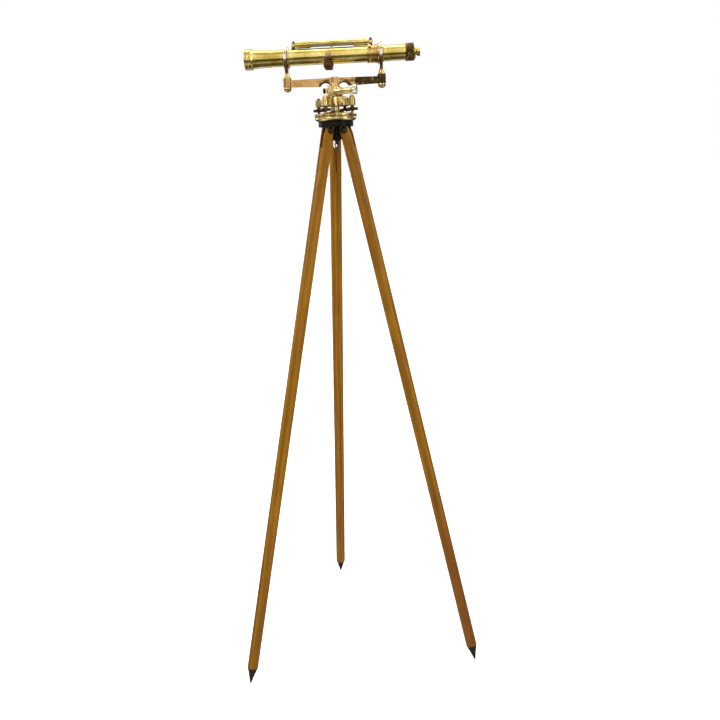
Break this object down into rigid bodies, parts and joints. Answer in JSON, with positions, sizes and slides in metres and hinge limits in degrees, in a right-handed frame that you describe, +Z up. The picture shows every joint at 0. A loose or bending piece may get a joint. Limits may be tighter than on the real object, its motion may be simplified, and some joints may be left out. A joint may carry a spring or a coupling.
{
  "type": "surveyor's wye level on tripod",
  "caption": "Brass wye level: a telescope with a spirit level over it in hinged wyes, on a levelling head and a wooden tripod with spreading legs.",
  "frame": {"origin": "on the ground, under the instrument's vertical axis", "axes": "+Z up along the vertical axis; the telescope lies along X with its object glass towards -X and its eyepiece towards +X; the focusing knob faces -Y"},
  "size_m": [0.6094, 0.5828, 1.6186],
  "materials": {
    "lacquered_brass": "old lacquered yellow brass, slightly dulled",
    "polished_brass": "polished golden brass with brown patches",
    "dark_bronze": "bronze darkened by handling",
    "bell_metal": "turned bell metal",
    "black_japan": "black japanned casting, semi-gloss",
    "dark_iron": "dark brown blued iron",
    "iron_point": "blackened iron",
    "ash_wood": "varnished golden brown wood",
    "steel": "plain steel",
    "optical_glass": "polished glass",
    "spirit": "clear pale spirit"
  },
  "bodies": {
    "stand": {"tripod_head": "black_japan", "plumb_hook": "steel", "lower_plate": "polished_brass"},
    "leg_a_body": {"leg_a": "ash_wood", "leg_point_a": "iron_point", "leg_bolt_a": "dark_iron"},
    "leg_b_body": {"leg_b": "ash_wood", "leg_point_b": "iron_point", "leg_bolt_b": "dark_iron"},
    "leg_c_body": {"leg_c": "ash_wood", "leg_point_c": "iron_point", "leg_bolt_c": "dark_iron"},
    "seat": {"ball_seat": "polished_brass"},
    "cross": {"levelling_cross": "polished_brass", "half_ball": "polished_brass", "centre_socket": "polished_brass", "dust_caps": "polished_brass"},
    "shoe_1": {"levelling_shoe_1": "polished_brass"},
    "screw_1": {"levelling_screw_1": "polished_brass"},
    "shoe_2": {"levelling_shoe_2": "polished_brass"},
    "screw_2": {"levelling_screw_2": "polished_brass"},
    "shoe_3": {"levelling_shoe_3": "polished_brass"},
    "screw_3": {"levelling_screw_3": "polished_brass"},
    "shoe_4": {"levelling_shoe_4": "polished_brass"},
    "screw_4": {"levelling_screw_4": "polished_brass"},
    "clamp": {"clamp_collar": "polished_brass", "tangent_barrel": "polished_brass", "friction_spring": "steel"},
    "clamp_knob": {"clamp_screw": "polished_brass"},
    "tangent_knob": {"tangent_screw": "polished_brass"},
    "limb": {"limb_bar": "polished_brass", "spindle": "polished_brass", "drive_lug": "polished_brass", "wye_objective": "dark_bronze", "wye_eyepiece": "dark_bronze", "wye_nuts": "polished_brass", "clip_hinge_pins": "polished_brass"},
    "telescope": {"main_tube": "lacquered_brass", "bearing_rings": "bell_metal", "reticle": "dark_bronze", "reticle_screws": "lacquered_brass", "pinion_housing": "polished_brass", "eyepiece_tube": "lacquered_brass", "vial_tube": "lacquered_brass", "vial_glass": "optical_glass", "vial_spirit": "spirit", "vial_mounts": "lacquered_brass", "vial_nuts": "lacquered_brass"},
    "object_end": {"objective_slide": "lacquered_brass", "objective_head": "lacquered_brass", "object_glass": "optical_glass"},
    "focus": {"focus_pinion": "polished_brass", "focus_knob": "dark_bronze"},
    "eye_ring": {"eyepiece_ring": "dark_bronze"},
    "eye_end": {"eye_cap": "dark_bronze", "eye_lenses": "optical_glass"},
    "clip_objective_body": {"clip_objective": "polished_brass"},
    "pin_objective_body": {"clip_pin_objective": "polished_brass"},
    "clip_eyepiece_body": {"clip_eyepiece": "polished_brass"},
    "pin_eyepiece_body": {"clip_pin_eyepiece": "polished_brass"}
  },
  "joints": [
    {"name": "leg_a_spread", "type": "hinge", "parent": "stand", "child": "leg_a_body", "pos_m": [-0.00451, 0.0256, 1.406], "axis": [0.9848, 0.1736, 0], "range_deg": [-13, 12]},
    {"name": "leg_b_spread", "type": "hinge", "parent": "stand", "child": "leg_b_body", "pos_m": [-0.01992, -0.01671, 1.406], "axis": [-0.6428, 0.766, 0], "range_deg": [-13, 12]},
    {"name": "leg_c_spread", "type": "hinge", "parent": "stand", "child": "leg_c_body", "pos_m": [0.02443, -0.00889, 1.406], "axis": [-0.342, -0.9397, 0], "range_deg": [-13, 12]},
    {"name": "levelling_tilt_a", "type": "hinge", "parent": "stand", "child": "seat", "pos_m": [0, 0, 1.4384], "axis": [0.454, 0.891, 0], "range_deg": [-2.5, 2.5]},
    {"name": "levelling_tilt_b", "type": "hinge", "parent": "seat", "child": "cross", "pos_m": [0, 0, 1.4384], "axis": [0.891, -0.454, 0], "range_deg": [-2.5, 2.5]},
    {"name": "levelling_shoe_1_rise", "type": "slide", "parent": "cross", "child": "shoe_1", "axis": [0, 0, 1], "range_m": [-0.0025, 0.0025]},
    {"name": "levelling_screw_1_turn", "type": "hinge", "parent": "shoe_1", "child": "screw_1", "pos_m": [0.04232, -0.02157, 1.455], "axis": [0, 0, 1], "continuous": true},
    {"name": "levelling_shoe_2_rise", "type": "slide", "parent": "cross", "child": "shoe_2", "axis": [0, 0, 1], "range_m": [-0.0025, 0.0025]},
    {"name": "levelling_screw_2_turn", "type": "hinge", "parent": "shoe_2", "child": "screw_2", "pos_m": [0.02157, 0.04232, 1.455], "axis": [0, 0, 1], "continuous": true},
    {"name": "levelling_shoe_3_rise", "type": "slide", "parent": "cross", "child": "shoe_3", "axis": [0, 0, 1], "range_m": [-0.0025, 0.0025]},
    {"name": "levelling_screw_3_turn", "type": "hinge", "parent": "shoe_3", "child": "screw_3", "pos_m": [-0.04232, 0.02157, 1.455], "axis": [0, 0, 1], "continuous": true},
    {"name": "levelling_shoe_4_rise", "type": "slide", "parent": "cross", "child": "shoe_4", "axis": [0, 0, 1], "range_m": [-0.0025, 0.0025]},
    {"name": "levelling_screw_4_turn", "type": "hinge", "parent": "shoe_4", "child": "screw_4", "pos_m": [-0.02157, -0.04232, 1.455], "axis": [0, 0, 1], "continuous": true},
    {"name": "azimuth_turn", "type": "hinge", "parent": "cross", "child": "clamp", "pos_m": [0, 0, 1.4975], "axis": [0, 0, 1], "continuous": true},
    {"name": "slow_motion", "type": "hinge", "parent": "clamp", "child": "limb", "pos_m": [0, 0, 1.4975], "axis": [0, 0, 1], "range_deg": [-2.5, 2.5]},
    {"name": "clamp_screw_turn", "type": "hinge", "parent": "clamp", "child": "clamp_knob", "pos_m": [-0.025, 0, 1.5002], "axis": [-1, 0, 0], "range_deg": [-90, 90]},
    {"name": "tangent_screw_turn", "type": "hinge", "parent": "clamp", "child": "tangent_knob", "pos_m": [0.0331, -0.03668, 1.4985], "axis": [0.9781, -0.2079, 0], "continuous": true},
    {"name": "telescope_roll", "type": "hinge", "parent": "limb", "child": "telescope", "pos_m": [0, 0, 1.581], "axis": [1, 0, 0], "continuous": true},
    {"name": "clip_objective_open", "type": "hinge", "parent": "limb", "child": "clip_objective_body", "pos_m": [-0.115, 0.0292, 1.59], "axis": [-1, 0, 0], "range_deg": [0, 100]},
    {"name": "clip_pin_objective_pull", "type": "slide", "parent": "clip_objective_body", "child": "pin_objective_body", "axis": [0, -1, 0], "range_m": [0, 0.01]},
    {"name": "clip_eyepiece_open", "type": "hinge", "parent": "limb", "child": "clip_eyepiece_body", "pos_m": [0.115, 0.0292, 1.59], "axis": [-1, 0, 0], "range_deg": [0, 100]},
    {"name": "clip_pin_eyepiece_pull", "type": "slide", "parent": "clip_eyepiece_body", "child": "pin_eyepiece_body", "axis": [0, -1, 0], "range_m": [0, 0.01]},
    {"name": "objective_focus", "type": "slide", "parent": "telescope", "child": "object_end", "axis": [-1, 0, 0], "range_m": [0, 0.028]},
    {"name": "focus_knob_turn", "type": "hinge", "parent": "telescope", "child": "focus", "pos_m": [-0.011, 0, 1.5584], "axis": [0, -1, 0], "range_deg": [-1, 269]},
    {"name": "eye_slide", "type": "slide", "parent": "telescope", "child": "eye_end", "axis": [1, 0, 0], "range_m": [0, 0.008]},
    {"name": "eyepiece_ring_turn", "type": "hinge", "parent": "telescope", "child": "eye_ring", "pos_m": [0.1825, 0, 1.581], "axis": [1, 0, 0], "range_deg": [-1, 181]}
  ],
  "couplings": [
    {"joint": "levelling_shoe_1_rise", "follows": "levelling_tilt_a", "m_per_rad": 0.0475},
    {"joint": "levelling_shoe_2_rise", "follows": "levelling_tilt_b", "m_per_rad": -0.0475},
    {"joint": "levelling_shoe_3_rise", "follows": "levelling_tilt_a", "m_per_rad": -0.0475},
    {"joint": "levelling_shoe_4_rise", "follows": "levelling_tilt_b", "m_per_rad": 0.0475},
    {"joint": "focus_knob_turn", "follows": "objective_focus", "rad_per_m": 166.67},
    {"joint": "eyepiece_ring_turn", "follows": "eye_slide", "rad_per_m": 392.7}
  ]
}
